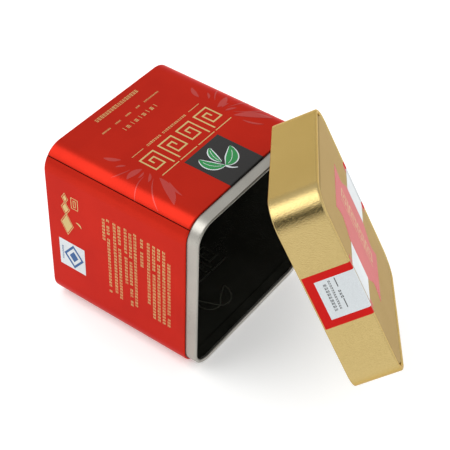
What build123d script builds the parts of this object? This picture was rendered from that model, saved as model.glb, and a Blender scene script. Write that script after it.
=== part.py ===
from build123d import *

import os

# Square slip-lid tin of printed tinplate, lying on one side with its lid off and propped at the mouth.
#
# Row frame, in millimetres: +Z is up and the floor is z = 0. The tin's axis runs along Y, with its
# open mouth towards -Y and its closed base towards +Y. The origin is on the floor, under the middle
# of the body wrap. The lid is built flat in its own frame, rim down, and then placed.

# Driving dimensions
SIDE = 80.0  # outside width and height of the square body
BODY_LENGTH = 70.0  # base edge to mouth edge
CORNER_RADIUS = 10.0  # outside of the body's four long corners
GAUGE = 0.3  # tinplate thickness
BEND = 0.45  # centre-line radius of an ordinary bend
PANEL_MARGIN = 1.0  # flat rim of a sunk panel, inside its step

# Base end
BASE_LIP = 2.2  # how far the wrap's base edge is turned in
BASE_RECESS = 1.5  # how deep the base panel is sunk behind its flange
BASE_STEP = 3.4  # from the outside of the wrap to the step in the base panel

# Neck, the bare sleeve that the lid slides over
NECK_RISE = 5.0  # how far the neck stands out of the mouth
NECK_DEPTH = 14.0  # how far the sleeve reaches down inside the body
NECK_STEP = 0.9  # from the outside of the wrap in to the outside of the neck
NECK_SEAT = 2.2  # below the mouth edge, where the sleeve leaves the wrap's wall
NECK_JOGGLE = 1.0  # length of the step between the sleeve's two widths
CURL_WIDTH = 1.5  # width of the neck's rolled edge
CURL_DROP = 1.3  # depth of the neck's rolled edge
MOUTH_GAP = 0.25  # between the wrap's turned-in edge and the neck

# Lid
LID_DEPTH = 18.5  # rim to the top of the bead
LID_CLEARANCE = 0.3  # between the lid's hem and the neck, all round
HEM_GAP = 0.2  # left inside the folded hem at the rim
HEM_HEIGHT = 4.0
HEM_FLAT = 0.02  # flat left between the hem's two bends
BEAD_WIDTH = 1.9  # raised bead round the lid's top
BEAD_DROP = 1.9  # depth of the bead's inner leg
BEAD_BEND = 0.7
GROOVE_WIDTH = 0.9  # between the bead and the panel
PANEL_DROP = 0.2  # top of the bead down to the panel

# Where the lid is propped: one side of its rim stands just clear of the neck's upper edge. Then its
# turn about the vertical, its lean from the vertical and its spin about its own axis
PROP_ACROSS = 19.8  # along the neck's upper edge, from its middle
PROP_ALONG = 24.8  # along the lid's side, from its middle
PROP_GAP = 0.1  # from the square of the neck's edge to the square of the lid's
LID_TURN = 39.9
LID_LEAN = 63.7
LID_SPIN = -17.1

# Everything round has its corners turned about the same four centres, so a wall is known by its
# distance out from a corner centre. The tin and the lid share those centres when it is closed.
CENTRE_REACH = SIDE / 2 - CORNER_RADIUS
WRAP_OUT = CORNER_RADIUS
WRAP_IN = WRAP_OUT - GAUGE
NECK_OUT = WRAP_OUT - NECK_STEP
LID_OUT = NECK_OUT + LID_CLEARANCE + 2 * GAUGE + HEM_GAP
LID_IN = LID_OUT - GAUGE


def offset_corners(points, amount):
    """Corner points of the line that runs to the left of a bent line, at a fixed distance."""
    vectors = [Vector(*point) for point in points]
    runs = [(end - start).normalized() for start, end in zip(vectors, vectors[1:])]
    sides = [Vector(-run.Y, run.X) for run in runs]
    corners = [vectors[0] + sides[0] * amount]
    for point, before, after in zip(vectors[1:-1], sides, sides[1:]):
        mitre = (before + after).normalized()
        corners.append(point + mitre * (amount / mitre.dot(before)))
    corners.append(vectors[-1] + sides[-1] * amount)
    return corners


def sheet_section(points, bend):
    """Closed section of a bent sheet, from its centre line as (out, up) points and one bend radius."""
    vectors = [Vector(*point) for point in points]
    runs = [end - start for start, end in zip(vectors, vectors[1:])]
    left_turns = [before.X * after.Y - before.Y * after.X > 0 for before, after in zip(runs, runs[1:])]
    half = GAUGE / 2
    left = offset_corners(points, half)
    right = offset_corners(points, -half)
    left_radii = [bend - half if turn else bend + half for turn in left_turns]
    right_radii = [bend + half if turn else bend - half for turn in left_turns]
    left_line = FilletPolyline(*left, radius=left_radii)
    right_line = FilletPolyline(*right, radius=right_radii)
    ends = [Line(left[0], right[0]), Line(left[-1], right[-1])]
    flat = make_face(left_line.edges() + right_line.edges() + ends)
    return Plane.XZ * flat


def carried_round(section):
    """Carry a section, drawn outwards from a corner centre, round the rounded square."""
    side_length = 2 * CENTRE_REACH
    side = Pos(CENTRE_REACH, CENTRE_REACH, 0) * extrude(section, amount=side_length, dir=(0, -1, 0))
    corner = Pos(CENTRE_REACH, CENTRE_REACH, 0) * revolve(section, axis=Axis.Z, revolution_arc=90)
    ring = Part() + [Rot(Z=quarter * 90) * piece for quarter in range(4) for piece in (side, corner)]
    return ring


def rounded_plate(reach, low, high):
    """Flat plate between two heights, whose edge is a given distance out from the corner centres."""
    width = 2 * (CENTRE_REACH + reach)
    outline = RectangleRounded(width, width, reach)
    return Pos(0, 0, low) * extrude(outline, amount=high - low)


def body_wrap():
    """Printed outer wall: turned in at the base as a lip, and at the mouth to meet the neck."""
    wall = WRAP_OUT - GAUGE / 2
    section = sheet_section(
        [
            (WRAP_OUT - BASE_LIP, GAUGE / 2),
            (wall, GAUGE / 2),
            (wall, BODY_LENGTH - GAUGE / 2),
            (NECK_OUT + MOUTH_GAP, BODY_LENGTH - GAUGE / 2),
        ],
        BEND,
    )
    return carried_round(section)


def base_panel():
    """Closed end: a flange that lies on the wrap's base lip, and a sunk flat panel."""
    flange_level = GAUGE * 1.5
    panel_level = flange_level + BASE_RECESS
    step = WRAP_OUT - BASE_STEP
    seam = step - PANEL_MARGIN
    section = sheet_section(
        [
            (WRAP_IN - BEND, flange_level),
            (step, flange_level),
            (step, panel_level),
            (seam, panel_level),
        ],
        BEND,
    )
    plate = rounded_plate(seam, panel_level - GAUGE / 2, panel_level + GAUGE / 2)
    return carried_round(section) + plate


def neck_sleeve():
    """Bare sleeve seated in the mouth: it steps in under the wrap's edge, stands out and is curled in."""
    seated = WRAP_IN - GAUGE / 2
    standing = NECK_OUT - GAUGE / 2
    curl_top = BODY_LENGTH + NECK_RISE - GAUGE / 2
    curl_in = NECK_OUT - CURL_WIDTH + GAUGE / 2
    section = sheet_section(
        [
            (seated, BODY_LENGTH - NECK_DEPTH),
            (seated, BODY_LENGTH - NECK_SEAT),
            (standing, BODY_LENGTH - NECK_SEAT + NECK_JOGGLE),
            (standing, curl_top),
            (curl_in, curl_top),
            (curl_in, curl_top - CURL_DROP),
        ],
        BEND,
    )
    return carried_round(section)


def lid_wall():
    """Lid side: a hem folded in at the rim, and a raised bead folded over at the top."""
    hem = LID_OUT - GAUGE * 1.5 - HEM_GAP
    wall = LID_OUT - GAUGE / 2
    bead_top = LID_DEPTH - GAUGE / 2
    bead_leg = LID_OUT - BEAD_WIDTH + GAUGE / 2
    hem_bend = (wall - hem - HEM_FLAT) / 2
    hem_section = sheet_section(
        [(hem, HEM_HEIGHT), (hem, GAUGE / 2), (wall, GAUGE / 2), (wall, HEM_HEIGHT)],
        hem_bend,
    )
    bead_section = sheet_section(
        [(wall, HEM_HEIGHT), (wall, bead_top), (bead_leg, bead_top), (bead_leg, LID_DEPTH - BEAD_DROP)],
        BEAD_BEND,
    )
    return carried_round(hem_section) + carried_round(bead_section)


def lid_top_panel():
    """Lid top: a flange held inside the bead, a groove floor under the bead's leg, and the panel."""
    flange = LID_IN - GAUGE / 2
    groove_level = LID_DEPTH - BEAD_DROP - GAUGE / 2
    panel_level = LID_DEPTH - PANEL_DROP - GAUGE / 2
    groove_in = LID_OUT - BEAD_WIDTH - GROOVE_WIDTH
    seam = groove_in - PANEL_MARGIN
    section = sheet_section(
        [
            (flange, LID_DEPTH - GAUGE - BEAD_BEND),
            (flange, groove_level),
            (groove_in, groove_level),
            (groove_in, panel_level),
            (seam, panel_level),
        ],
        BEND,
    )
    plate = rounded_plate(seam, panel_level - GAUGE / 2, panel_level + GAUGE / 2)
    return carried_round(section) + plate


def lying_tin():
    """Place of the tin: on one side, its base towards +Y."""
    return Pos(0, BODY_LENGTH / 2, SIDE / 2) * Rot(X=90)


def propped_lid():
    """Place of the lid: one side of its rim beside the upper edge of the neck."""
    neck_edge = Pos(PROP_ACROSS, -BODY_LENGTH / 2 - NECK_RISE - PROP_GAP, SIDE - NECK_STEP)
    turned = Rot(Z=LID_TURN) * Rot(X=LID_LEAN) * Rot(Z=LID_SPIN)
    return neck_edge * turned * Pos(-CENTRE_REACH - LID_OUT, -PROP_ALONG, 0)


def main():
    tin_place = lying_tin()
    lid_place = propped_lid()
    parts = {
        "body_wrap": tin_place * body_wrap(),
        "base_panel": tin_place * base_panel(),
        "neck_sleeve": tin_place * neck_sleeve(),
        "lid_wall": lid_place * lid_wall(),
        "lid_top_panel": lid_place * lid_top_panel(),
    }
    os.makedirs("parts", exist_ok=True)
    for name, part in parts.items():
        export_step(part, f"parts/{name}.step")


if __name__ == "__main__":
    main()
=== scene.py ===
import math

import bpy
import numpy as np
from mathutils import Matrix, Vector


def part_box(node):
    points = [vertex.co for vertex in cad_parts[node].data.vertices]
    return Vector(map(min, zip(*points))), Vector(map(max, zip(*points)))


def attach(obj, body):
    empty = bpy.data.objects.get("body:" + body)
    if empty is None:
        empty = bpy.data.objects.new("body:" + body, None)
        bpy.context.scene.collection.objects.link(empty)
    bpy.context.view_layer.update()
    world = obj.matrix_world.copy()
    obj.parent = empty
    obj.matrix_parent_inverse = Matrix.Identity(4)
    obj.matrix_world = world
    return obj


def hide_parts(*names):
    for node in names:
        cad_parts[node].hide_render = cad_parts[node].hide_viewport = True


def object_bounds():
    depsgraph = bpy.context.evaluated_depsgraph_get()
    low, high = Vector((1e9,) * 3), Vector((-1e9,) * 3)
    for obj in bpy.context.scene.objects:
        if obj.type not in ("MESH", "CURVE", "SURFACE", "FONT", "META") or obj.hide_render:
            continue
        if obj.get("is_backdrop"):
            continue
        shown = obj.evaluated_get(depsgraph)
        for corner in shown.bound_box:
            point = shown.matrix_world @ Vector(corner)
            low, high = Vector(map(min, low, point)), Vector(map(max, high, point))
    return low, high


bl_info = {
    "name": "Square slip-lid tin",
    "version": (1, 0, 0),
    "blender": (4, 5, 0),
    "location": "View3D > Sidebar > Tin",
    "description": "A printed square tin lying on one side, with its loose gold lid",
    "category": "Add Mesh",
}

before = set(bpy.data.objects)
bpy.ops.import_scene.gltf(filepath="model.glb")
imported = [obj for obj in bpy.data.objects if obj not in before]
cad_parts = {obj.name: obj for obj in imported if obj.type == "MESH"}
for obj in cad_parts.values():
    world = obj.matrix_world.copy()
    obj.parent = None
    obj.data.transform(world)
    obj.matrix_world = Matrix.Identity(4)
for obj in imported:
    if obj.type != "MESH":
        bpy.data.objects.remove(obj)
CAD_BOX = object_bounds()
MM = 0.001


def span(node, axis):
    """Width of a CAD node along one axis, in metres."""
    low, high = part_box(node)
    return round(high[axis] - low[axis], 6)


# ---------------------------------------------------------------- values a user would change


def length(name, description, default):
    return bpy.props.FloatProperty(
        name=name, description=description, default=default, unit="LENGTH", precision=5
    )


def colour(name, description, default):
    return bpy.props.FloatVectorProperty(
        name=name, description=description, default=default, subtype="COLOR", size=3, min=0, max=1
    )


def number(name, description, default):
    return bpy.props.FloatProperty(name=name, description=description, default=default)


def angle(name, description, default):
    return bpy.props.FloatProperty(
        name=name, description=description, default=math.radians(default), subtype="ANGLE"
    )


class TinSizes(bpy.types.PropertyGroup):
    side: length("Side", "Outside width and height of the body", span("body_wrap", 0))
    body_length: length("Body length", "Base edge to mouth edge", span("body_wrap", 1))
    corner_radius: length("Corner radius", "Outside of the body's long corners", 10 * MM)
    gauge: length("Gauge", "Tinplate thickness", 0.3 * MM)
    bend: length("Bend", "Centre-line radius of an ordinary bend", 0.45 * MM)
    base_lip: length("Base lip", "How far the wrap's base edge is turned in", 2.2 * MM)
    base_recess: length("Base recess", "How deep the base panel is sunk", 1.5 * MM)
    base_step: length("Base step", "Outside of the wrap to the base panel's step", 3.4 * MM)
    panel_margin: length("Panel margin", "Flat rim of a sunk panel, inside its step", 1 * MM)
    neck_rise: length("Neck rise", "How far the neck stands out of the mouth", 5 * MM)
    neck_depth: length("Neck depth", "How far the sleeve reaches down inside", 14 * MM)
    neck_step: length("Neck step", "Outside of the wrap in to the outside of the neck", 0.9 * MM)
    neck_seat: length("Neck seat", "Below the mouth edge, where the sleeve steps in", 2.2 * MM)
    neck_joggle: length("Neck joggle", "Length of the sleeve's step", 1 * MM)
    curl_width: length("Curl width", "Width of the neck's rolled edge", 1.5 * MM)
    curl_drop: length("Curl drop", "Depth of the neck's rolled edge", 1.3 * MM)
    mouth_gap: length("Mouth gap", "Between the wrap's turned-in edge and the neck", 0.25 * MM)
    lid_depth: length("Lid depth", "Rim to the top of the bead", 18.5 * MM)
    lid_clearance: length("Lid clearance", "Between the lid's hem and the neck", 0.3 * MM)
    hem_gap: length("Hem gap", "Left inside the folded hem", 0.2 * MM)
    hem_height: length("Hem height", "Height of the folded hem", 4 * MM)
    hem_flat: length("Hem flat", "Flat left between the hem's two bends", 0.02 * MM)
    bead_width: length("Bead width", "Raised bead round the lid's top", 1.9 * MM)
    bead_drop: length("Bead drop", "Depth of the bead's inner leg", 1.9 * MM)
    bead_bend: length("Bead bend", "Centre-line radius of the bead's bends", 0.7 * MM)
    groove_width: length("Groove width", "Between the bead and the panel", 0.9 * MM)
    panel_drop: length("Panel drop", "Top of the bead down to the panel", 0.2 * MM)
    seam_width: length("Seam width", "Open line of the wrap's lap seam", 0.46 * MM)
    seam_depth: length("Seam depth", "Depth of the wrap's lap seam", 0.24 * MM)
    film: length("Print film", "How proud the print stands of the sheet", 0.03 * MM)
    relief: length("Relief", "Height of the embossing inside", 0.3 * MM)
    prop_across: length("Prop across", "Along the neck's upper edge, from its middle", 19.8 * MM)
    prop_along: length("Prop along", "Along the lid's side, from its middle", 24.8 * MM)
    prop_gap: length("Prop gap", "Square of the neck's edge to square of the lid's", 0.1 * MM)
    lid_turn: angle("Lid turn", "Lid's turn about the vertical", 39.9)
    lid_lean: angle("Lid lean", "Lid's lean from the vertical", 63.7)
    lid_spin: angle("Lid spin", "Lid's spin about its own axis", -17.1)


class TinColours(bpy.types.PropertyGroup):
    red: colour("Red print", "Glossy red over tinplate", (0.49, 0.019, 0.008))
    red_shade: colour("Red shade", "Thicker patches of the red print", (0.44, 0.016, 0.007))
    gold: colour("Gold lacquer", "Satin gold over tinplate", (0.51, 0.385, 0.165))
    gold_shade: colour("Gold shade", "Thicker patches of the gold lacquer", (0.45, 0.335, 0.135))
    panel: colour("Lid panel", "Gold lacquer of the lid's top", (0.39, 0.305, 0.175))
    panel_shade: colour("Lid panel shade", "Thicker patches on the lid's top", (0.35, 0.27, 0.15))
    tin: colour("Bare tinplate", "Unprinted tinplate", (0.43, 0.415, 0.375))
    tin_shade: colour("Dull tinplate", "Duller patches of tinplate", (0.37, 0.355, 0.32))
    lacquer: colour("Black lacquer", "Inside of the body", (0.014, 0.0145, 0.011))
    lacquer_shade: colour("Worn lacquer", "Thinner patches of the lacquer", (0.026, 0.026, 0.021))
    gold_ink: colour("Gold ink", "Ornaments and dashes", (0.62, 0.47, 0.19))
    leaf_ink: colour("Leaf ink", "Pale leaf sprays on the red", (0.52, 0.060, 0.050))
    black_ink: colour("Black ink", "Square label at the mouth", (0.017, 0.016, 0.0155))
    white_ink: colour("White ink", "Labels and outlines", (0.66, 0.70, 0.72))
    green_ink: colour("Green ink", "Leaves of the sprig", (0.02, 0.24, 0.06))
    blue_ink: colour("Blue ink", "Lozenges on the white label", (0.015, 0.09, 0.27))
    band_red: colour("Band red", "Band across the lid", (0.55, 0.010, 0.008))


class TinStudio(bpy.types.PropertyGroup):
    floor_size: length("Floor size", "Width of the floor", 6.0)
    floor_tone: colour("Floor tone", "Pale floor", (0.90, 0.90, 0.895))
    floor_glow: number("Floor glow", "Light that the floor gives of itself, as a light table does", 0.30)
    sky: number("Sky strength", "Brightness of the surroundings", 1.05)
    key_power: bpy.props.FloatProperty(
        name="Key power", description="Large soft light above and behind", default=5.5, unit="POWER"
    )
    camera_x: length("Camera X", "Camera place", -301.97 * MM)
    camera_y: length("Camera Y", "Camera place", -231.89 * MM)
    camera_z: length("Camera Z", "Camera place", 391.68 * MM)
    azimuth: angle("Camera azimuth", "Direction of the camera round the tin", -55.60)
    elevation: angle("Camera elevation", "Camera's angle above the horizon", 43.42)
    roll: angle("Camera roll", "Camera's turn about its own axis", 2.25)
    lens: number("Lens", "Focal length in millimetres on a 36 mm sensor", 98.94)


class Measures:
    """Sizes in millimetres. Distances named out or in are measured out from a corner centre."""

    def __init__(self):
        sizes = bpy.context.scene.tin_sizes
        angles = ("lid_turn", "lid_lean", "lid_spin")
        for key in TinSizes.__annotations__:
            value = getattr(sizes, key)
            setattr(self, key, value if key in angles else value / MM)
        self.half = self.gauge / 2
        self.reach = self.side / 2 - self.corner_radius
        self.wrap_out = self.corner_radius
        self.wrap_in = self.wrap_out - self.gauge
        self.neck_out = self.wrap_out - self.neck_step
        self.lid_out = self.neck_out + self.lid_clearance + 2 * self.gauge + self.hem_gap
        self.panel_top = self.lid_depth - self.panel_drop
        self.flat_width = 2 * self.reach
        self.corner_arc = self.corner_radius * math.pi / 2


# ---------------------------------------------------------------- lines and sections


def unit(vectors):
    return vectors / np.linalg.norm(vectors, axis=-1, keepdims=True)


def mitres(line):
    """For each point of a bent line, the vector to its left neighbour line at distance one: the sum of
    the two runs' left normals, divided by that sum's share along either normal."""
    run = unit(np.diff(line, axis=0))
    left = np.stack([-run[:, 1], run[:, 0]], axis=1)
    middle = left[:-1] + left[1:]
    middle = middle / np.sum(middle * left[:-1], axis=1, keepdims=True)
    return np.vstack([left[:1], middle, left[-1:]])


def rounded_line(line, radii, steps=7, margin=0.12):
    """Bent line with its inner corners rounded. Each arc is centred on its corner's bisector, at the
    radius divided by the sine of half the inner angle, and a support point stands just off each end."""
    corner = line[1:-1]
    back, ahead = unit(line[:-2] - corner), unit(line[2:] - corner)
    half_angle = np.arccos(np.clip(np.sum(back * ahead, axis=1), -1, 1)) / 2
    tangent = radii / np.tan(half_angle)
    free = np.linalg.norm(np.diff(line, axis=0), axis=1)
    free = free - np.append(0, tangent) - np.append(tangent, 0)
    gap = np.minimum(margin, free / 3)
    centre = corner + unit(back + ahead) * (radii / np.sin(half_angle))[:, None]
    spoke = corner + back * tangent[:, None] - centre
    turn_sign = np.sign(back[:, 1] * ahead[:, 0] - back[:, 0] * ahead[:, 1])
    sweep = ((np.pi - 2 * half_angle) * turn_sign)[:, None] * np.linspace(0, 1, steps + 1)
    cos, sin = np.cos(sweep), np.sin(sweep)
    x, y = spoke[:, :1], spoke[:, 1:]
    arc = centre[:, None, :] + np.stack([cos * x - sin * y, sin * x + cos * y], axis=-1)
    before = arc[:, 0] + back * gap[:-1, None]
    after = arc[:, -1] + ahead * gap[1:, None]
    rows = np.concatenate([before[:, None], arc, after[:, None]], axis=1).reshape(-1, 2)
    return np.vstack([line[:1], rows, line[-1:]])


def sheet_sides(corners, bends, half):
    """Left and right faces of a bent sheet: its centre line moved half a gauge each way, and each
    bend's radius less or more by as much."""
    line = np.array(corners, float)
    run = np.diff(line, axis=0)
    turn = np.sign(run[:-1, 0] * run[1:, 1] - run[:-1, 1] * run[1:, 0])
    bends = np.broadcast_to(np.asarray(bends, float), turn.shape)
    step = mitres(line)
    left = rounded_line(line + half * step, bends - turn * half)
    right = rounded_line(line - half * step, bends + turn * half)
    return left, right


def round_path(distance, reach, radius):
    """Rounded square, by the distance round it at a radius from its corner centres: a quarter turn
    about each centre, then a straight run to the next. Gives the moving centre and the way out."""
    arc, run = radius * np.pi / 2, 2 * reach
    quarter, rest = np.divmod(np.mod(distance, 4 * (arc + run)), arc + run)
    turn = (quarter + np.clip(rest / arc, 0, 1)) * np.pi / 2
    slide = np.clip((rest - arc) / run, 0, 1)[..., None]
    corners = np.array([(1, 1), (-1, 1), (-1, -1), (1, -1), (1, 1)]) * reach
    index = quarter.astype(int)
    centre = corners[index] * (1 - slide) + corners[index + 1] * slide
    return centre, np.stack([np.cos(turn), np.sin(turn)], axis=-1)


def stations(reach, radius, steps=24):
    """Distances round the rounded square at which a section is placed: close together on the corners,
    and on each side one just off each end and a few between."""
    arc, run = radius * np.pi / 2, 2 * reach
    along_side = arc + run * np.array([0.006, 0.25, 0.5, 0.75, 0.994])
    one = np.concatenate([np.linspace(0, arc, steps + 1), along_side])
    return (np.arange(4)[:, None] * (arc + run) + one).ravel()


def carried(rows, distance, reach, radius, dent=0.0):
    """Section rows (out, up) carried round the rounded square: the moving centre plus the way out
    times the row's distance out, less any dent."""
    centre, way = round_path(distance, reach, radius)
    out = np.broadcast_to(rows[:, :1] - dent, (len(rows), len(distance)))
    flat = centre[None] + way[None] * out[..., None]
    up = np.broadcast_to(rows[:, 1:], out.shape)
    return np.concatenate([flat, up[..., None]], axis=-1)


# ---------------------------------------------------------------- meshes


def volume(points, faces):
    """Signed volume inside a closed mesh: a sixth of the sum of the triangles' triple products."""
    first, second, third = (points[faces[:, k]] for k in (0, 1, 2))
    total = np.einsum("ij,ij->", first, np.cross(second, third))
    if faces.shape[1] == 4:
        total += np.einsum("ij,ij->", first, np.cross(third, points[faces[:, 3]]))
    return total / 6


def ring_faces(rows, columns, closed_rows):
    """Quads of a grid whose columns close on themselves, and whose rows do too if asked."""
    row = np.arange(rows if closed_rows else rows - 1)[:, None]
    column = np.arange(columns)[None, :]
    after_row, after_column = (row + 1) % rows, (column + 1) % columns
    corners = [
        row * columns + column,
        row * columns + after_column,
        after_row * columns + after_column,
        after_row * columns + column,
    ]
    return np.stack(np.broadcast_arrays(*corners), axis=-1).reshape(-1, 4)


SHARP_ANGLE = math.radians(35)  # faces that meet at more than this show an edge


def add_piece(name, points, faces, materials, body, slots=None, node=None):
    """Put a mesh, given in millimetres, into an object at the origin, and let it ride on its body."""
    mesh = bpy.data.meshes.new(name)
    mesh.from_pydata((points * MM).tolist(), [], [face for part in faces for face in part.tolist()])
    for material in materials:
        mesh.materials.append(material)
    if slots is not None:
        mesh.polygons.foreach_set("material_index", np.asarray(slots, np.int32))
    mesh.shade_smooth()
    mesh.set_sharp_from_angle(angle=SHARP_ANGLE)
    mesh.update()
    if mesh.validate():
        raise RuntimeError(f"{name} has faces that aren't valid")
    piece = bpy.data.objects.new(name, mesh)
    bpy.context.scene.collection.objects.link(piece)
    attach(piece, body)
    if node:
        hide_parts(node)
    return piece


def ring_sheet(sides, distance, m, radius, place, dent=None):
    """Closed ring of bent sheet. Returns its points, its faces and, for each face, 0 on the sheet's
    right side and cut ends and 1 on its left side."""
    left, right = sides
    rows = np.vstack([left, right[::-1]])
    shift = 0.0
    if dent is not None:
        outside = (np.arange(len(rows)) >= len(left))[:, None]
        shift = outside * dent[None, :]
    points = place(carried(rows, distance, m.reach, radius, shift).reshape(-1, 3))
    faces = ring_faces(len(rows), len(distance), True)
    slots = np.repeat(np.arange(len(rows)) < len(left) - 1, len(distance)).astype(int)
    if volume(points, faces) < 0:
        faces = faces[:, ::-1]
    return points, [faces], slots


PANEL_RINGS = (0.97, 0.66, 0.33, 0.04)  # rings that close a panel, as shares of its section's last one


def panel_sheet(sides, distance, m, radius, place):
    """Pressed panel: its section carried round, and closed in the middle by the last ring drawn in
    towards the axis and a fan to one point, above and below."""
    left, right = sides
    rows = np.vstack([right[::-1], left])
    rings = carried(rows, distance, m.reach, radius)
    shrink = np.array(PANEL_RINGS)[:, None, None] * np.array([1, 1, 0]) + np.array([0, 0, 1])
    inner = [rings[end][None] * shrink for end in (0, -1)]
    grid = np.concatenate([inner[0][::-1], rings, inner[1]])
    poles = np.array([(0, 0, grid[0, 0, 2]), (0, 0, grid[-1, 0, 2])])
    count, columns = grid.shape[:2]
    points = place(np.vstack([grid.reshape(-1, 3), poles]))
    quads = ring_faces(count, columns, False)
    edge = np.arange(columns)
    after = (edge + 1) % columns
    top = np.full(columns, count * columns)
    last = (count - 1) * columns
    fans = np.vstack([
        np.stack([top, after, edge], axis=1),
        np.stack([top + 1, edge + last, after + last], axis=1),
    ])
    if volume(points, quads) + volume(points, fans) < 0:
        quads, fans = quads[:, ::-1], fans[:, ::-1]
    under = np.arange(count - 1) >= len(PANEL_RINGS) + len(right) - 1
    slots = np.concatenate([np.repeat(under, columns), np.repeat([False, True], columns)]).astype(int)
    return points, [quads, fans], slots


def films(grids, place, low, high, rise=0.0):
    """Thin closed slabs of print, one for each grid of surface places: the grid at its upper height,
    the same grid at the lower one, and a wall round the edge. Each next slab may stand a little
    higher, so that two which cross don't share a face."""
    points, faces, start = [], [], 0
    for order, grid in enumerate(grids):
        rows, columns = grid.shape[:2]
        count = rows * columns
        both = np.concatenate([place(grid, high + rise * order), place(grid, low)]).reshape(-1, 3)
        index = np.arange(count).reshape(rows, columns)
        quads = [index[:-1, :-1], index[1:, :-1], index[1:, 1:], index[:-1, 1:]]
        quads = np.stack(quads, axis=-1).reshape(-1, 4)
        edge = np.concatenate([index[0, :-1], index[:-1, -1], index[-1, :0:-1], index[:0:-1, 0]])
        after = np.roll(edge, -1)
        wall = np.stack([edge, after, after + count, edge + count], axis=1)
        one = np.concatenate([quads, quads[:, ::-1] + count, wall])
        if volume(both, one) < 0:
            one = one[:, ::-1]
        points.append(both)
        faces.append(one + start)
        start += 2 * count
    return np.concatenate(points), faces


# ---------------------------------------------------------------- places


def tin_to_row(m):
    """The tin's own frame, base down, laid on one side with its base towards +Y."""
    return lambda p: np.stack([p[..., 0], m.body_length / 2 - p[..., 2], p[..., 1] + m.side / 2], axis=-1)


def lid_to_row(m):
    """The lid's own frame, rim down: spun, leant and turned, and set with one side of its rim beside
    the neck's upper edge."""
    turned = (
        Matrix.Rotation(m.lid_turn, 3, "Z")
        @ Matrix.Rotation(m.lid_lean, 3, "X")
        @ Matrix.Rotation(m.lid_spin, 3, "Z")
    )
    turned = np.array(turned)
    rim = -m.body_length / 2 - m.neck_rise
    edge = np.array([m.prop_across, rim - m.prop_gap, m.side - m.neck_step])
    beside = np.array([m.reach + m.lid_out, m.prop_along, 0])
    return lambda p: (p - beside) @ turned.T + edge


def on_wrap(m):
    """Print on the wrap, from (round, along): round is the distance from the middle of the upper face,
    positive towards +X, and along is the row's Y. Past the mouth bend it follows the turned edge."""
    middle = m.corner_arc + m.reach
    radius = m.bend + m.half
    bend_start = m.body_length - radius
    to_row = tin_to_row(m)

    def place(grid, height):
        centre, way = round_path(middle - grid[..., 0], m.reach, m.corner_radius)
        up = m.body_length / 2 - grid[..., 1]
        over = np.clip(up - bend_start, 0, None)
        turn = np.minimum(over / radius, np.pi / 2)
        past = np.clip(over - radius * np.pi / 2, 0, None)
        out = m.wrap_out - radius + (radius + height) * np.cos(turn) - past
        axial = np.minimum(up, bend_start) + (radius + height) * np.sin(turn)
        return to_row(np.concatenate([centre + way * out[..., None], axial[..., None]], axis=-1))

    return place


def on_side(m):
    """Print on the wrap's face towards -X, from the row's (Y, Z)."""
    wrap = on_wrap(m)
    level = m.reach + m.corner_arc + m.side - m.corner_radius

    def place(grid, height):
        return wrap(np.stack([grid[..., 1] - level, grid[..., 0]], axis=-1), height)

    return place


def inside_wrap(m):
    """Embossing inside the wrap's lower face, from the row's (X, Y)."""

    def place(grid, height):
        up = np.full(grid.shape[:-1], m.gauge + height)
        return np.stack([grid[..., 0], grid[..., 1], up], axis=-1)

    return place


def on_panel(m):
    """Print on the lid's panel, from the lid's own (X, Y)."""
    to_row = lid_to_row(m)

    def place(grid, height):
        up = np.full(grid.shape[:-1], m.panel_top + height)
        return to_row(np.stack([grid[..., 0], grid[..., 1], up], axis=-1))

    return place


def lid_skin(m, start, height):
    """Outer line of the lid's wall from a level up over the bead and down its inner leg, moved out by
    a height."""
    wall = m.lid_out - m.half
    leg = m.lid_out - m.bead_width + m.half
    top = m.lid_depth - m.half
    line = np.array([(wall, start), (wall, top), (leg, top), (leg, m.lid_depth - m.bead_drop)])
    away = m.half + height
    return rounded_line(line - away * mitres(line), np.full(2, m.bead_bend + away))


def on_lid_side(m, sign, start):
    """Print up one side of the lid and over its bead, from (Y, number of the skin line's point)."""
    to_row = lid_to_row(m)

    def place(grid, height):
        skin = lid_skin(m, start, height)[grid[..., 1].astype(int)]
        return to_row(np.stack([sign * (m.reach + skin[..., 0]), grid[..., 0], skin[..., 1]], axis=-1))

    return place


# ---------------------------------------------------------------- flat figures


def ribbon(line, half_width, columns=2):
    """Grid across a line: each point moved to both sides along its mitre, by its half width."""
    line = np.asarray(line, float)
    side = mitres(line) * np.broadcast_to(half_width, (len(line),))[:, None]
    return line[:, None] + side[:, None] * np.linspace(-1, 1, columns)[None, :, None]


def lattice(first, second):
    """Grid of every pair of a first and a second value."""
    return np.stack(np.meshgrid(first, second, indexing="ij"), axis=-1)


def block(low, high, rows=2, columns=2):
    """Rectangle between two corners."""
    return lattice(np.linspace(low[0], high[0], rows), np.linspace(low[1], high[1], columns))


def curve(start, bend, end, count=24):
    """Quadratic curve from start to end, drawn towards bend."""
    t = np.linspace(0, 1, count)[:, None]
    return (1 - t) ** 2 * np.array(start) + 2 * t * (1 - t) * np.array(bend) + t**2 * np.array(end)


LEAF_POWER, LEAF_TIP = 0.8, 0.04  # power of the sine that a leaf's half width follows, and its least
MARGIN_POWER = 0.3  # the same power for a margin round the leaf


def blade(start, bend, end, half_width, columns=5, margin=0.0):
    """Leaf along a curve: its half width follows a power of the sine of the way along, and a margin
    round it follows a lower power, so it is fuller towards the tips."""
    line = curve(start, bend, end)
    arch = np.sin(np.pi * np.linspace(0, 1, len(line)))
    half = half_width * arch**LEAF_POWER + LEAF_TIP + margin * arch**MARGIN_POWER
    return ribbon(line, half, columns)


LOZENGE_ROWS, LOZENGE_TIP = 9, 0.03  # places along a lozenge, and its least half width


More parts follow.
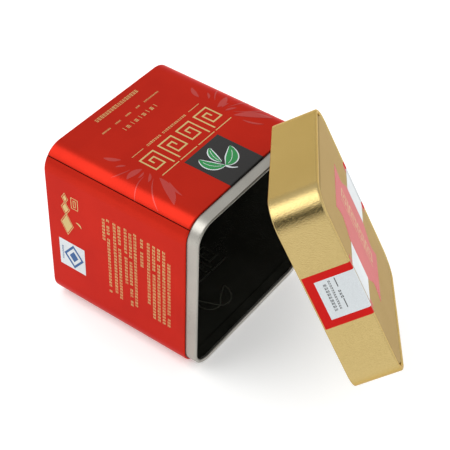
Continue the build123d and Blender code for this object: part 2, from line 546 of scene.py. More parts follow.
def lozenge(centre, wide, tall):
    """Upright lozenge, as a band down its middle whose half width grows and shrinks evenly."""
    level = np.linspace(-tall, tall, LOZENGE_ROWS)
    line = np.stack([np.full_like(level, centre[0]), centre[1] + level], axis=1)
    return ribbon(line, LOZENGE_TIP + wide * (1 - np.abs(level) / tall))


def lozenge_line(centre, wide, tall, half_width):
    """Outline of an upright lozenge, closed on itself."""
    corners = np.array([(0.5, 0.5), (1, 0), (0, -1), (-1, 0), (0, 1), (0.5, 0.5)])
    return ribbon(np.array(centre) + corners * (wide, tall), half_width)


FRET = ((-4, -5.4), (-4, 5.4), (4, 5.4), (4, -2.7), (-1.4, -2.7), (-1.4, 2.8), (1.4, 2.8), (1.4, 0.2))
FRET_COUNT = 4
FRET_FOOT = (-6.9, -6.5)  # lower and upper edge of the bars that join the spirals
FRET_BREAK = 0.5  # left open at each end of such a bar


def fret_row(pitch, half_width):
    """Square spirals in a row along the first axis, about the origin, each turned the other way from
    the last and joined to it along the row's foot."""
    grids = []
    reach = pitch / 2 - FRET_BREAK
    for order in range(FRET_COUNT):
        place = (order - (FRET_COUNT - 1) / 2) * pitch
        hand = 1 if order % 2 else -1
        grids.append(ribbon(np.array(FRET) * (hand, 1) + (place, 0), half_width))
        grids.append(block((place - reach, FRET_FOOT[0]), (place + reach, FRET_FOOT[1])))
    return grids


UPPER_SEED, SIDE_SEED, LID_SEED = 11, 23, 37  # of the chance lengths on each face
BAR_REACH = (0.30, 0.42)  # least and most that a bar reaches each way, as shares of the pitch
BAR_HEIGHT = (0.38, 0.62)  # its least and most height, as shares of its step


def dashes(dice, start, end, level, pitch, tall, bars=3, fill=0.9):
    """Unreadable line of print along the first axis: at each pitch a few parallel bars of chance
    length, with now and then a gap."""
    grids = []
    step = tall / bars
    for place in np.arange(start + pitch / 2, end - pitch / 3, pitch):
        if dice.random() > fill:
            continue
        for bar in range(bars):
            near, far = pitch * dice.uniform(*BAR_REACH, 2)
            low = level - tall / 2 + bar * step
            high = low + step * dice.uniform(*BAR_HEIGHT)
            grids.append(block((place - near, low), (place + far, high)))
    return grids


def dash_lines(dice, rows, shift=0.0):
    """Lines of print from rows of start, end, level, pitch, height, bars and share filled."""
    lines = [dashes(dice, shift + start, shift + end, *rest) for start, end, *rest in rows]
    return [grid for line in lines for grid in line]


def swapped(grids):
    return [grid[..., ::-1] for grid in grids]


def moved(grids, shift):
    return [grid + np.array(shift) for grid in grids]


# ---------------------------------------------------------------- finishes


# Sockets of a Mix node, which has one set for numbers and one for colours
FACTOR, NUMBER_A, NUMBER_B, COLOUR_A, COLOUR_B = 0, 2, 3, 6, 7
NUMBER_OUT, COLOUR_OUT = 0, 2


def add_node(tree, kind, values=None, **settings):
    """Shader node with its settings, and with values on inputs that nothing is linked to."""
    node = tree.nodes.new("ShaderNode" + kind)
    for key, value in settings.items():
        setattr(node, key, value)
    for key, value in (values or {}).items():
        node.inputs[key].default_value = value
    return node


def new_group(name, inputs, outputs):
    """Empty shader group with its named number sockets, and its two end nodes."""
    group = bpy.data.node_groups.new(name, "ShaderNodeTree")
    for label, default in inputs:
        socket = group.interface.new_socket(label, in_out="INPUT", socket_type="NodeSocketFloat")
        socket.default_value = default
    for label in outputs:
        group.interface.new_socket(label, in_out="OUTPUT", socket_type="NodeSocketFloat")
    return group, group.nodes.new("NodeGroupInput"), group.nodes.new("NodeGroupOutput")


def noises(group, given, kinds):
    """Solid noises in Object coordinates, by the group's input that sets each one's scale."""
    place = add_node(group, "TexCoord")
    for scale, values in kinds.items():
        noise = add_node(group, "TexNoise", values)
        group.links.new(place.outputs["Object"], noise.inputs["Vector"])
        group.links.new(given.outputs[scale], noise.inputs["Scale"])
        yield noise.outputs["Fac"]


def mottle_group():
    """Uneven ink: broad clouds of solid noise mixed with a fine speckle, as one mask from 0 to 1."""
    inputs = (("Cloud scale", 55), ("Speckle scale", 2400), ("Speckle share", 0.4))
    group, given, made = new_group("uneven_ink", inputs, ("Mask", "Speckle"))
    kinds = {"Cloud scale": {"Detail": 3}, "Speckle scale": {"Detail": 2}}
    clouds, speckle = noises(group, given, kinds)
    mix = add_node(group, "Mix")
    link = group.links.new
    link(given.outputs["Speckle share"], mix.inputs[FACTOR])
    link(clouds, mix.inputs[NUMBER_A])
    link(speckle, mix.inputs[NUMBER_B])
    link(mix.outputs[NUMBER_OUT], made.inputs["Mask"])
    link(speckle, made.inputs["Speckle"])
    return group


THREAD_WIDTH = 0.004  # how near its middle value the noise has to be
PATCH_LEVEL = 0.60  # above which a place has threads


def scuff_group():
    """Handling marks: thin threads where a warped wave of solid noise crosses its middle value, kept
    only inside scattered patches."""
    inputs = (("Thread scale", 160), ("Patch scale", 45))
    group, given, made = new_group("scuffs", inputs, ("Mask",))
    kinds = {"Thread scale": {"Detail": 4, "Distortion": 1.2}, "Patch scale": {}}
    threads, patches = noises(group, given, kinds)
    link = group.links.new
    off = add_node(group, "Math", {1: 0.5}, operation="SUBTRACT")
    size = add_node(group, "Math", operation="ABSOLUTE")
    thin = add_node(group, "Math", {1: THREAD_WIDTH}, operation="LESS_THAN")
    keep = add_node(group, "Math", {1: PATCH_LEVEL}, operation="GREATER_THAN")
    both = add_node(group, "Math", operation="MULTIPLY")
    link(threads, off.inputs[0])
    link(off.outputs[0], size.inputs[0])
    link(size.outputs[0], thin.inputs[0])
    link(patches, keep.inputs[0])
    link(thin.outputs[0], both.inputs[0])
    link(keep.outputs[0], both.inputs[1])
    link(both.outputs[0], made.inputs["Mask"])
    return group


def shared(name, build):
    return bpy.data.node_groups.get(name) or build()


CONTRAST = {"From Min": 0.36, "From Max": 0.64}  # the mask's range that is spread from tone to shade
ROUGHNESS_LOW, ROUGHNESS_HIGH = 0.88, 1.14  # the roughness's drift, as shares of it
GRAIN_HEIGHT = 0.1 * MM
SCUFF_TONE = 0.5  # of the shade


def finish(
    name, tone, shade, metallic, roughness, coat=0.0, coat_roughness=0.1, grain=0.05, scuffs=0.0,
    speckle=0.4, shine=0.5, tint=(1, 1, 1)
):
    """Sheet or ink finish: its tone drifts to a shade by the uneven ink mask, its roughness follows
    the same mask between two values, and the speckle raises a fine grain."""
    found = bpy.data.materials.get(name)
    if found:
        return found
    material = bpy.data.materials.new(name)
    material.use_nodes = True
    tree = material.node_tree
    link = tree.links.new
    shader = tree.nodes["Principled BSDF"]
    for key, value in (
        ("Metallic", metallic),
        ("Specular IOR Level", shine),
        ("Specular Tint", (*tint, 1)),
        ("Coat Weight", coat),
        ("Coat Roughness", coat_roughness),
    ):
        shader.inputs[key].default_value = value
    ink_group = shared("uneven_ink", mottle_group)
    uneven = add_node(tree, "Group", {"Speckle share": speckle}, node_tree=ink_group)
    drift = add_node(tree, "Mix", {COLOUR_A: (*tone, 1), COLOUR_B: (*shade, 1)}, data_type="RGBA")
    contrast = add_node(tree, "MapRange", CONTRAST)
    link(uneven.outputs["Mask"], contrast.inputs["Value"])
    link(contrast.outputs["Result"], drift.inputs[FACTOR])
    worn = drift.outputs[COLOUR_OUT]
    if scuffs:
        marks = add_node(tree, "Group", node_tree=shared("scuffs", scuff_group))
        amount = add_node(tree, "Math", {1: scuffs}, operation="MULTIPLY")
        dull = (*(SCUFF_TONE * value for value in shade), 1)
        rubbed = add_node(tree, "Mix", {COLOUR_B: dull}, data_type="RGBA")
        link(marks.outputs["Mask"], amount.inputs[0])
        link(amount.outputs[0], rubbed.inputs[FACTOR])
        link(worn, rubbed.inputs[COLOUR_A])
        worn = rubbed.outputs[COLOUR_OUT]
    link(worn, shader.inputs["Base Color"])
    ends = {"To Min": roughness * ROUGHNESS_LOW, "To Max": roughness * ROUGHNESS_HIGH}
    polish = add_node(tree, "MapRange", ends)
    link(uneven.outputs["Mask"], polish.inputs["Value"])
    link(polish.outputs["Result"], shader.inputs["Roughness"])
    bump = add_node(tree, "Bump", {"Strength": grain, "Distance": GRAIN_HEIGHT})
    link(uneven.outputs["Speckle"], bump.inputs["Height"])
    link(bump.outputs["Normal"], shader.inputs["Normal"])
    return material


RED_TINT = (1.0, 0.30, 0.24)  # of what the clear red lets through at a glance
GOLD_TINT = (0.85, 0.68, 0.42)  # the same for the gold lacquer


def tones():
    return bpy.context.scene.tin_colours


def red_print():
    return finish(
        "red_print", tones().red, tones().red_shade, 0.6, 0.30, grain=0.04, speckle=0.25, shine=0.25,
        tint=RED_TINT
    )


def black_lacquer():
    thick, thin = tones().lacquer, tones().lacquer_shade
    return finish("black_lacquer", thick, thin, 0.0, 0.26, coat=0.5, coat_roughness=0.2)


def bare_tinplate():
    bright, dull = tones().tin, tones().tin_shade
    return finish("satin_tin", bright, dull, 1.0, 0.40, grain=0.10, scuffs=0.5, speckle=0.5)


def gold_lacquer():
    thin, thick = tones().gold, tones().gold_shade
    return finish("gold_lacquer", thin, thick, 1.0, 0.25, grain=0.9, speckle=0.75, tint=GOLD_TINT)


def gold_panel():
    thin, thick = tones().panel, tones().panel_shade
    return finish("gold_panel", thin, thick, 1.0, 0.42, grain=0.2, speckle=0.6, tint=GOLD_TINT)


# Near-black red for the middle of the seam's line: painted shade standing in for the shadow in its groove
def seam_shade():
    shadow_tone = tuple(0.07 * value for value in tones().red)
    return finish("seam_shade", shadow_tone, shadow_tone, 0.0, 0.7, shine=0.05)


# Lacquer for the embossing, 4.5 times lighter than the inside: a painted highlight, as if light caught
# the raised marks
def worn_lacquer():
    raised = tuple(4.5 * value for value in tones().lacquer)
    return finish("worn_lacquer", raised, tones().lacquer_shade, 0.0, 0.3)


def ink(name, tone, metallic=0.0, roughness=0.35, shine=0.25):
    shade = tuple(0.86 * value for value in tone)
    return finish(name, tone, shade, metallic, roughness, grain=0.04, speckle=0.5, shine=shine)


def gold_ink():
    return ink("gold_ink", tones().gold_ink, metallic=0.5, roughness=0.4)


def white_ink():
    return ink("white_ink", tones().white_ink)


def black_ink():
    return ink("black_ink", tones().black_ink)


# ---------------------------------------------------------------- operators


class TinMaker:
    """Operator that makes one piece, or one group of print, from the sizes."""

    def execute(self, context):
        self.make(Measures())
        return {"FINISHED"}


SEAM_UP = 40.8 / 90  # the seam's place up its corner, from the side face
SEAM_ROWS = (-1.6, -1, -0.6, 0, 0.6, 1, 1.6)  # places across the seam, in half widths of its line
SEAM_SLOPE = 2.5  # how steeply its edges fall
SEAM_SHADOW = 0.7  # share of its line, in the middle, that gets the painted shade


class TIN_OT_body_wrap(TinMaker, bpy.types.Operator):
    """Make the printed outer wall, turned in at both ends, with the open line of its lap seam"""

    bl_idname = "tin.body_wrap"
    bl_label = "Body wrap"

    def make(self, m):
        wall = m.wrap_out - m.half
        corners = [
            (m.wrap_out - m.base_lip, m.half),
            (wall, m.half),
            (wall, m.body_length - m.half),
            (m.neck_out + m.mouth_gap, m.body_length - m.half),
        ]
        sides = sheet_sides(corners, m.bend, m.half)
        seam = m.corner_arc * 2 + m.flat_width - m.corner_arc * SEAM_UP
        rows = seam + m.seam_width / 2 * np.array(SEAM_ROWS)
        distance = np.sort(np.append(stations(m.reach, m.corner_radius), rows))
        off = np.abs(distance - seam) / (m.seam_width / 2)
        dent = m.seam_depth * np.clip(SEAM_SLOPE * (1 - off), 0, 1)
        points, faces, slots = ring_sheet(sides, distance, m, m.corner_radius, tin_to_row(m), dent)
        # Faces in the middle of the seam take the third material, the painted shade of its groove
        dark = (off < SEAM_SHADOW) & (np.roll(off, -1) < SEAM_SHADOW)
        slots[np.tile(dark, len(slots) // len(distance))] = 2
        add_piece(
            "printed_wrap", points, faces, [red_print(), black_lacquer(), seam_shade()], "tin", slots,
            node="body_wrap",
        )


def add_sheet(build, name, corners, bends, m, materials, body, node):
    """Piece of bent sheet: its section carried round on its body, and closed by the given builder."""
    sides = sheet_sides(corners, bends, m.half)
    radius, place = (m.corner_radius, tin_to_row(m)) if body == "tin" else (m.lid_out, lid_to_row(m))
    points, faces, slots = build(sides, stations(m.reach, radius), m, radius, place)
    add_piece(name, points, faces, materials, body, slots, node=node)


class TIN_OT_base_panel(TinMaker, bpy.types.Operator):
    """Make the closed end: a flange behind the wrap's base lip and a sunk panel"""

    bl_idname = "tin.base_panel"
    bl_label = "Base panel"

    def make(self, m):
        flange = m.gauge * 1.5
        step = m.wrap_out - m.base_step
        corners = [
            (m.wrap_in - m.bend, flange),
            (step, flange),
            (step, flange + m.base_recess),
            (step - m.panel_margin, flange + m.base_recess),
        ]
        add_sheet(
            panel_sheet, "base_sheet", corners, m.bend, m, [black_lacquer(), bare_tinplate()], "tin",
            node="base_panel",
        )


class TIN_OT_neck_sleeve(TinMaker, bpy.types.Operator):
    """Make the bare sleeve in the mouth, stepped in under the wrap's edge and curled in at its rim"""

    bl_idname = "tin.neck_sleeve"
    bl_label = "Neck sleeve"

    def make(self, m):
        seated = m.wrap_in - m.half
        standing = m.neck_out - m.half
        top = m.body_length + m.neck_rise - m.half
        curl = m.neck_out - m.curl_width + m.half
        corners = [
            (seated, m.body_length - m.neck_depth),
            (seated, m.body_length - m.neck_seat),
            (standing, m.body_length - m.neck_seat + m.neck_joggle),
            (standing, top),
            (curl, top),
            (curl, top - m.curl_drop),
        ]
        add_sheet(
            ring_sheet, "neck_sheet", corners, m.bend, m, [bare_tinplate(), black_lacquer()], "tin",
            node="neck_sleeve",
        )


class TIN_OT_lid_wall(TinMaker, bpy.types.Operator):
    """Make the lid's side: a hem folded in at the rim and a bead folded over at the top"""

    bl_idname = "tin.lid_wall"
    bl_label = "Lid wall"

    def make(self, m):
        hem = m.lid_out - m.gauge * 1.5 - m.hem_gap
        wall = m.lid_out - m.half
        leg = m.lid_out - m.bead_width + m.half
        top = m.lid_depth - m.half
        hem_bend = (wall - hem - m.hem_flat) / 2
        corners = [
            (hem, m.hem_height),
            (hem, m.half),
            (wall, m.half),
            (wall, top),
            (leg, top),
            (leg, m.lid_depth - m.bead_drop),
        ]
        bends = (hem_bend, hem_bend, m.bead_bend, m.bead_bend)
        add_sheet(
            ring_sheet, "lid_side_sheet", corners, bends, m, [gold_lacquer(), bare_tinplate()], "lid",
            node="lid_wall",
        )


class TIN_OT_lid_top(TinMaker, bpy.types.Operator):
    """Make the lid's top: a flange inside the bead, a groove and a flat panel"""

    bl_idname = "tin.lid_top"
    bl_label = "Lid top"

    def make(self, m):
        flange = m.lid_out - m.gauge - m.half
        groove = m.lid_depth - m.bead_drop - m.half
        level = m.panel_top - m.half
        inner = m.lid_out - m.bead_width - m.groove_width
        corners = [
            (flange, m.lid_depth - m.gauge - m.bead_bend),
            (flange, groove),
            (inner, groove),
            (inner, level),
            (inner - m.panel_margin, level),
        ]
        add_sheet(
            panel_sheet, "lid_top_sheet", corners, m.bend, m, [gold_panel(), bare_tinplate()], "lid",
            node="lid_top_panel",
        )


PRINT_FOOT = -0.5  # foot of each layer of print, in films from the sheet's face


def add_print(name, grids, place, m, material, body, level=1, rise=0.0):
    """One layer of print. Each level stands one film higher, and its foot is sunk in the sheet."""
    points, faces = films(grids, place, PRINT_FOOT * m.film, level * m.film, rise)
    return add_piece(name, points, faces, [material], body)


# Ornaments of the upper face, in millimetres across and along it
FRET_PITCH, FRET_LINE, FRET_LEVEL = 11.5, 0.36, -4  # step, half width and place of the spirals
RULES = ((14.6, 4.9), (21.6, 5.15))  # corners of the fine rule on each side
TICKS = (-9.8, -4.7, 0.1, 4.9, 9.8)
TICK_HALF, TICK_FOOT, TICK_TOP = 0.1, 17.3, 19.5
LABEL_ACROSS, LABEL_TOP = (-11.4, 10.4), -12.7
LABEL_PAST = 0.15  # how far the label runs on past the turned edge's bend
UPPER_DASHES = (
    (-12.5, 12.5, 5.1, 1.25, 1.3, 2, 0.9),
    *((x - 1.2, x + 1.3, 18.4, 2.2, 1.9, 3, 1.0) for x in (-7.3, -2.3, 2.5, 7.4)),
    (-17.6, -12.2, 23.4, 0.85, 0.9, 2, 1.0),
    (-9.6, -5.8, 23.4, 0.85, 0.9, 2, 1.0),
    (-3.2, 0.6, 23.4, 0.85, 0.9, 2, 1.0),
    (3.4, 6.6, 23.4, 0.85, 0.9, 2, 1.0),
    (8.6, 18.6, 23.4, 0.85, 0.9, 2, 1.0),
    (-13.3, 13.5, 30.6, 1.55, 2.1, 3, 1.0),
)
# The sprig's leaves: root, bend, tip, half width
SPRIG = (
    ((-2.8, -26.2), (2.5, -27.5), (7.8, -20.6), 2.3),
    ((-2.8, -26.2), (-8.6, -23.0), (-6.6, -16.2), 1.9),
    ((-2.2, -24.0), (-2.6, -18.6), (1.6, -15.2), 1.25),
)
SPRIG_STEM = ((-2.8, -26.0), (-3.4, -28.6), (-0.8, -30.6))
STEM_FOOT, STEM_END = 0.55, 0.2  # half widths
SPRIG_MARGIN, VEIN_HALF = 0.5, 0.1
VEIN = slice(3, 20)  # the part of a leaf's line that its vein follows


def wrap_frets():
    return moved(fret_row(FRET_PITCH, FRET_LINE), (0, FRET_LEVEL))


class TIN_OT_top_print(TinMaker, bpy.types.Operator):
    """Print the upper face: meanders, fine lines and dashes in gold, and the square label's sprig"""

    bl_idname = "tin.top_print"
    bl_label = "Upper face print"

    def make(self, m):
        place = on_wrap(m)
        gold = wrap_frets() + [block(*(np.array(RULES) * (side, 1))) for side in (-1, 1)]
        gold += [block((x - TICK_HALF, TICK_FOOT), (x + TICK_HALF, TICK_TOP)) for x in TICKS]
        gold += dash_lines(np.random.default_rng(UPPER_SEED), UPPER_DASHES)
        add_print("top_gold_print", gold, place, m, gold_ink(), "tin")

        edge = -m.body_length / 2
        bend = (m.bend + m.half) * np.pi / 2
        along = np.concatenate([
            np.linspace(LABEL_TOP, edge + 0.7, 4),
            edge + m.bend + m.half - np.linspace(0, bend + LABEL_PAST, 9),
        ])
        label = lattice(np.linspace(*LABEL_ACROSS, 5), along)
        add_print("square_label", [label], place, m, black_ink(), "tin")

        line = curve(*SPRIG_STEM)
        stem = ribbon(line, np.linspace(STEM_FOOT, STEM_END, len(line)))
        white = [blade(*leaf, margin=SPRIG_MARGIN) for leaf in SPRIG] + [stem]
        green = [blade(*leaf) for leaf in SPRIG]
        veins = [ribbon(curve(*leaf[:3])[VEIN], VEIN_HALF) for leaf in SPRIG]
        green_ink = ink("green_ink", tones().green_ink)
        for name, grids, print_ink, level in (
            ("sprig_outline", white, white_ink(), 1.8),
            ("sprig_leaves", green, green_ink, 2.8),
            ("sprig_veins", veins, white_ink(), 3.8),
        ):
            add_print(name, grids, place, m, print_ink, "tin", level=level, rise=0.003)


# Blades of a spray: angle from the spray's outward way, near and far distance from its root, half width
SPRAY = (
    (62, 12, 19, 0.95),
    (43, 10, 14, 0.5),
    (27, 9, 17, 0.2),
    (8, 5, 13, 1.3),
    (-8, 6, 10, 0.4),
    (-18, 8, 20, 0.2),
    (-32, 6, 11, 0.55),
    (-43, 9, 25, 0.24),
    (-58, 9, 25, 1.7),
    (-70, 13, 22, 0.5),
)
SPRAY_ROOT = (19.5, -3.0)
SPRAY_BOW = 0.14  # how far a blade bows out, as a share of its length


class TIN_OT_leaf_print(TinMaker, bpy.types.Operator):
    """Print two pale fans of leaf blades, one over each long corner of the upper face"""

    bl_idname = "tin.leaf_print"
    bl_label = "Leaf sprays"

    def make(self, m):
        grids = []
        for side in (-1, 1):
            root = np.array(SPRAY_ROOT) * (side, 1)
            for order, (way, near, far, half_width) in enumerate(SPRAY):
                turn = np.radians(way)
                out = np.array([side * np.cos(turn), np.sin(turn)])
                across = np.array([-out[1], out[0]]) * (-1) ** order
                start, end = root + near * out, root + far * out
                bend = (start + end) / 2 + across * (far - near) * SPRAY_BOW
                grids.append(blade(start, bend, end, half_width))
        leaf = ink("leaf_ink", tones().leaf_ink, metallic=0.7, roughness=0.33)
        add_print("leaf_sprays", grids, on_wrap(m), m, leaf, "tin", level=0.7, rise=0.002)


# Lines of print down the side face: place along the tin, upper end, lower end
SIDE_LINES = (
    (5.2, 63, 49.5),
    (2.9, 63, 21),
    (-0.3, 62.5, 22.5),
    (-2.7, 62.5, 20.5),
    (-5.8, 62.5, 31.5),
    (-8.2, 62.5, 20),
    (-10.6, 62.5, 21),
    (-13.9, 62, 46),
    (-17.2, 62, 27),
    (-19.8, 62, 20),
    (-22.2, 62, 20),
    (-24.7, 62, 20),
    (-27.2, 57, 20),
)
SIDE_PITCH, SIDE_HEIGHT, SIDE_BARS, SIDE_FILL = 1.72, 1.5, 3, 0.95
# Gold lozenges on the side face: centre, half width, half height
LOZENGES = (((24.6, 47.2), 2.7, 4.9), ((24.9, 55.7), 1.6, 2.6), ((24.9, 61.0), 1.0, 1.7))
SQUARE_LOW, SQUARE_HIGH = np.array((18.2, 57.6)), np.array((21.6, 63.2))
SQUARE_INSETS, SQUARE_OPEN = (0.0, 1.15), (0, 0.35)
OUTLINE_HALF, SQUARE_HALF = 0.13, 0.16  # half widths of the fine lines
COMMA = ((19.8, 50.6), (17.8, 50.8), (17.0, 48.6), 0.35)
WHITE_LABEL = ((16.2, 22.4), (29.8, 37.0))
BLUE_CENTRE = (22.2, 29.7)
BLUE_DASHES = ((25.4, 33.8, 28.2, 1.0, 0.9, 2, 1.0),)


class TIN_OT_side_print(TinMaker, bpy.types.Operator):
    """Print the side face: unreadable lines, lozenges in gold, and a white label with blue lozenges"""

    bl_idname = "tin.side_print"
    bl_label = "Side face print"

    def make(self, m):
        dice = np.random.default_rng(SIDE_SEED)
        place = on_side(m)
        lines = [
            (lower, upper, level, SIDE_PITCH, SIDE_HEIGHT, SIDE_BARS, SIDE_FILL)
            for level, upper, lower in SIDE_LINES
        ]
        gold = swapped(dash_lines(dice, lines))
        for centre, wide, tall in LOZENGES:
            gold.append(lozenge(centre, wide, tall))
            gold.append(lozenge_line(centre, wide + 0.6, tall + 1.0, OUTLINE_HALF))
        for inset in SQUARE_INSETS:
            low, high = SQUARE_LOW + inset, SQUARE_HIGH - inset
            square = [low, (high[0], low[1]), high, (low[0], high[1]), low + SQUARE_OPEN]
            gold.append(ribbon(square, SQUARE_HALF))
        gold.append(blade(*COMMA))
        add_print("side_gold_print", gold, place, m, gold_ink(), "tin")

        add_print("side_white_label", [block(*WHITE_LABEL, 3, 3)], place, m, white_ink(), "tin")
        blue = [lozenge(BLUE_CENTRE, 2.3, 2.9), lozenge_line(BLUE_CENTRE, 4.6, 5.8, 0.5)]
        blue += swapped(dash_lines(dice, BLUE_DASHES))
        blue_ink = ink("blue_ink", tones().blue_ink)
        add_print("side_blue_mark", blue, place, m, blue_ink, "tin", level=1.8, rise=0.002)


RELIEF_LINE, RELIEF_FOOT = 0.32, -0.3  # half width of a leaf's raised outline, and its foot in gauges


class TIN_OT_inner_relief(TinMaker, bpy.types.Operator):
    """Emboss the lower face as seen from inside: the meanders and the sprig, faintly raised"""

    bl_idname = "tin.inner_relief"
    bl_label = "Inner relief"

    def make(self, m):
        grids = wrap_frets()
        for leaf in SPRIG[:2]:
            outline = blade(*leaf, columns=2)
            grids += [ribbon(outline[:, side], RELIEF_LINE) for side in (0, 1)]
        points, faces = films(grids, inside_wrap(m), RELIEF_FOOT * m.gauge, m.relief, 0.002)
        # The relief's lighter lacquer is a painted highlight on its raised marks
        add_piece("inner_relief", points, faces, [worn_lacquer()], "tin")


PLAQUE_LEVELS = (0, 8, 10, 12.5, 15, 18, 21.3)  # distances from the plaque's middle
PLAQUE_WIDTHS = (21.8, 21.6, 19.6, 16.4, 14.2, 15.2, 17.6)  # its half width at each
BAND_HALF, LABEL_HALF, BAND_MIDDLE = 11.0, 8.0, 1.5  # half widths, and their middle along the side
BAND_RIM, LABEL_FOOT = 0.55, 4.0  # where the band and its label start, above the lid's rim
LABEL_RULES = ((-5.2, 11.0), (3.6, 11.0))
RULE_SIZE = (3.8, 0.3)
LABEL_DASHES = (
    (-1.2, 3.4, 11.1, 1.2, 1.1, 2, 1.0),
    (-5.2, 7.4, 9.0, 0.95, 0.9, 2, 0.9),
    (-5.4, 7.2, 7.2, 1.3, 1.25, 3, 1.0),
)
TAB_LENGTH, FLAP_START = 2.4, 21.0
LID_FRET_PITCH, LID_FRET_LINE, LID_FRET_SCALE, LID_FRET_SHIFT = 10.2, 0.34, 0.78, 4.0


class TIN_OT_lid_print(TinMaker, bpy.types.Operator):
    """Print the lid: a red band with a white label over both sides, and the plaque between them"""

    bl_idname = "tin.lid_print"
    bl_label = "Lid print"

    def make(self, m):
        band = ink("band_red", tones().band_red, metallic=0.4, roughness=0.3, shine=0.1)
        plaque_red = ink("plaque_red", tones().band_red, metallic=0.1, roughness=0.4, shine=0.35)
        white, middle = white_ink(), BAND_MIDDLE
        skin = np.arange(len(lid_skin(m, BAND_RIM, 0)))
        for sign, side in ((-1, "near"), (1, "far")):
            for part, half, start, material, level in (
                ("band", BAND_HALF, BAND_RIM, band, 1),
                ("label", LABEL_HALF, LABEL_FOOT, white, 1.8),
            ):
                grid = lattice(np.linspace(middle - half, middle + half, 5), skin)
                place = on_lid_side(m, sign, start)
                add_print(f"lid_{part}_{side}", [grid], place, m, material, "lid", level=level)

        def up_side(grid, height):
            out = np.full(grid.shape[:-1], height)
            return lid_to_row(m)(np.stack([-m.reach - m.lid_out - out, grid[..., 0], grid[..., 1]], -1))

        lines = [block(low, np.add(low, RULE_SIZE)) for low in np.add(LABEL_RULES, (middle, 0))]
        lines += dash_lines(np.random.default_rng(LID_SEED), LABEL_DASHES, middle)
        add_print("lid_label_lines", lines, up_side, m, black_ink(), "lid", level=2.6)

        on_top = on_panel(m)
        edge = m.reach + m.lid_out - m.bead_width - m.groove_width - m.bend - m.half + 0.1
        levels = np.linspace(-PLAQUE_LEVELS[-1], PLAQUE_LEVELS[-1], 61)
        widths = np.interp(np.abs(levels), PLAQUE_LEVELS, PLAQUE_WIDTHS)
        plaque = ribbon(np.stack([np.zeros_like(levels), levels + middle], axis=1), widths, 9)
        tabs = [
            block((sign * (edge - TAB_LENGTH), middle + low), (sign * edge, middle + high))
            for sign in (-1, 1)
            for low, high in ((-BAND_HALF, -LABEL_HALF), (LABEL_HALF, BAND_HALF))
        ]
        flaps = [
            block((sign * FLAP_START, middle - LABEL_HALF), (sign * edge, middle + LABEL_HALF), 4, 3)
            for sign in (-1, 1)
        ]
        add_print("lid_plaque", [plaque] + tabs, on_top, m, plaque_red, "lid")
        add_print("lid_flaps", flaps, on_top, m, white, "lid", level=1.8)
        frets = [grid * LID_FRET_SCALE for grid in swapped(fret_row(LID_FRET_PITCH, LID_FRET_LINE))]
        frets = moved(frets, (LID_FRET_SHIFT, middle))
        add_print("lid_gold_print", frets, on_top, m, gold_ink(), "lid", level=1.8)


# Darker zones of the sky: direction, full within, gone beyond (degrees), tone
SKY_ZONES = (
    ((-0.86, -0.06, 0.50), 14, 25, 0.0),
    ((0.62, 0.40, 0.68), 16, 44, 0.80),
    ((0.52, 0.85, 0.04), 18, 40, 0.82),
)
# Lights: name, direction, distance and width in metres, share of the key light's power
LIGHTS = (
    ("key_light", (-0.36, 0.52, 0.77), 1.25, 1.05, 1.0),
    ("fill_light", (0.25, -0.85, 0.45), 1.6, 1.3, 0.25),
)
FLOOR_SHADE = 0.985  # of the floor's tone


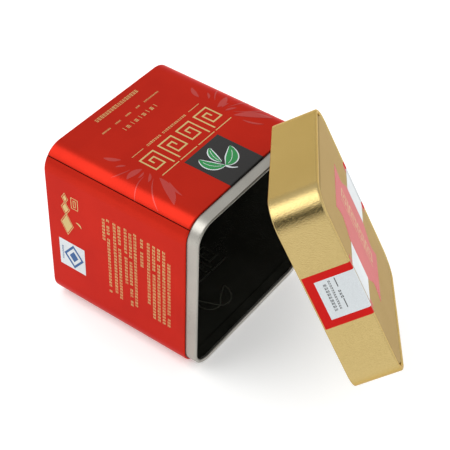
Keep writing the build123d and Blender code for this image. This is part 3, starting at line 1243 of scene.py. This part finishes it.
class TIN_OT_stage(bpy.types.Operator):
    """Set the pale floor, the soft lights, the surroundings and the camera"""

    bl_idname = "tin.stage"
    bl_label = "Stage"

    def execute(self, context):
        studio = context.scene.tin_studio
        half = studio.floor_size / 2
        mesh = bpy.data.meshes.new("floor")
        corners = [(-half, -half, 0), (half, -half, 0), (half, half, 0), (-half, half, 0)]
        mesh.from_pydata(corners, [], [(0, 1, 2, 3)])
        floor = bpy.data.objects.new("floor", mesh)
        context.scene.collection.objects.link(floor)
        tone = tuple(studio.floor_tone)
        shade = tuple(FLOOR_SHADE * value for value in tone)
        pale = finish("pale_floor", tone, shade, 0.0, 0.9, grain=0.0, speckle=0.1)
        shader = pale.node_tree.nodes["Principled BSDF"]
        shader.inputs["Emission Color"].default_value = (*tone, 1)
        shader.inputs["Emission Strength"].default_value = studio.floor_glow
        mesh.materials.append(pale)
        floor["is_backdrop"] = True

        low, high = CAD_BOX
        centre = (low + high) / 2
        for name, way, distance, size, share in LIGHTS:
            light = bpy.data.lights.new(name, "AREA")
            light.shape = "DISK"
            light.size = size
            light.energy = studio.key_power * share
            lamp = bpy.data.objects.new(name, light)
            lamp.location = centre + Vector(way).normalized() * distance
            lamp.rotation_euler = (lamp.location - centre).to_track_quat("Z", "Y").to_euler()
            context.scene.collection.objects.link(lamp)
        self.surroundings(context.scene, studio.sky)
        self.camera(context.scene, studio)
        context.scene.view_settings.view_transform = "Standard"
        return {"FINISHED"}

    def surroundings(self, scene, strength):
        """Even pale sky with darker zones that the metal mirrors: each is a tone round one direction,
        fading out between two angles from it."""
        world = bpy.data.worlds.new("surroundings")
        world.use_nodes = True
        scene.world = world
        tree = world.node_tree
        link = tree.links.new
        sky = tree.nodes["Background"]
        sky.inputs["Strength"].default_value = strength
        place = add_node(tree, "TexCoord")
        colour_so_far = None
        for way, inner, outer, tone in SKY_ZONES:
            ahead = {1: Vector(way).normalized()}
            toward = add_node(tree, "VectorMath", ahead, operation="DOT_PRODUCT")
            near, far = math.cos(math.radians(inner)), math.cos(math.radians(outer))
            limits = {"From Min": far, "From Max": near}
            edge = add_node(tree, "MapRange", limits, interpolation_type="SMOOTHSTEP")
            pair = {COLOUR_A: (1, 1, 1, 1), COLOUR_B: (tone, tone, tone, 1)}
            mix = add_node(tree, "Mix", pair, data_type="RGBA")
            if colour_so_far:
                link(colour_so_far, mix.inputs[COLOUR_A])
            link(place.outputs["Generated"], toward.inputs[0])
            link(toward.outputs["Value"], edge.inputs["Value"])
            link(edge.outputs["Result"], mix.inputs[FACTOR])
            colour_so_far = mix.outputs[COLOUR_OUT]
        link(colour_so_far, sky.inputs["Color"])

    def camera(self, scene, studio):
        """Camera from its place, its direction round and above the tin, and its roll."""
        around, above, roll = studio.azimuth, studio.elevation, studio.roll
        back = Vector((
            math.sin(around) * math.cos(above),
            -math.cos(around) * math.cos(above),
            math.sin(above),
        ))
        right = Vector((0, 0, 1)).cross(back).normalized()
        up = back.cross(right)
        axes = (
            right * math.cos(roll) + up * math.sin(roll),
            up * math.cos(roll) - right * math.sin(roll),
            back,
        )
        data = bpy.data.cameras.new("camera")
        data.sensor_width = 36
        data.lens = studio.lens
        camera = bpy.data.objects.new("camera", data)
        place = Matrix(axes).transposed().to_4x4()
        place.translation = (studio.camera_x, studio.camera_y, studio.camera_z)
        camera.matrix_world = place
        scene.collection.objects.link(camera)
        scene.camera = camera


PARTS = (
    TIN_OT_body_wrap,
    TIN_OT_base_panel,
    TIN_OT_neck_sleeve,
    TIN_OT_lid_wall,
    TIN_OT_lid_top,
    TIN_OT_top_print,
    TIN_OT_leaf_print,
    TIN_OT_side_print,
    TIN_OT_inner_relief,
    TIN_OT_lid_print,
    TIN_OT_stage,
)


class TIN_PT_panel(bpy.types.Panel):
    """Sizes, colours and makers of the tin"""

    bl_label = "Square slip-lid tin"
    bl_idname = "TIN_PT_panel"
    bl_space_type = "VIEW_3D"
    bl_region_type = "UI"
    bl_category = "Tin"

    def draw(self, context):
        for part in PARTS:
            self.layout.operator(part.bl_idname)
        for group, kind in GROUPS.items():
            box = self.layout.box()
            for key in kind.__annotations__:
                box.prop(getattr(context.scene, group), key)


GROUPS = {"tin_sizes": TinSizes, "tin_colours": TinColours, "tin_studio": TinStudio}
CLASSES = (*GROUPS.values(), *PARTS, TIN_PT_panel)


def register():
    for cls in CLASSES:
        bpy.utils.register_class(cls)
    for group, kind in GROUPS.items():
        setattr(bpy.types.Scene, group, bpy.props.PointerProperty(type=kind))


def unregister():
    for group in GROUPS:
        delattr(bpy.types.Scene, group)
    for cls in reversed(CLASSES):
        bpy.utils.unregister_class(cls)


def main():
    register()
    for part in PARTS:
        family, name = part.bl_idname.split(".")
        getattr(getattr(bpy.ops, family), name)()
    boxes = {"cad": CAD_BOX, "visual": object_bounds()}
    {name: [list(corner) for corner in box] for name, box in boxes.items()}


if __name__ == "__main__":
    main()
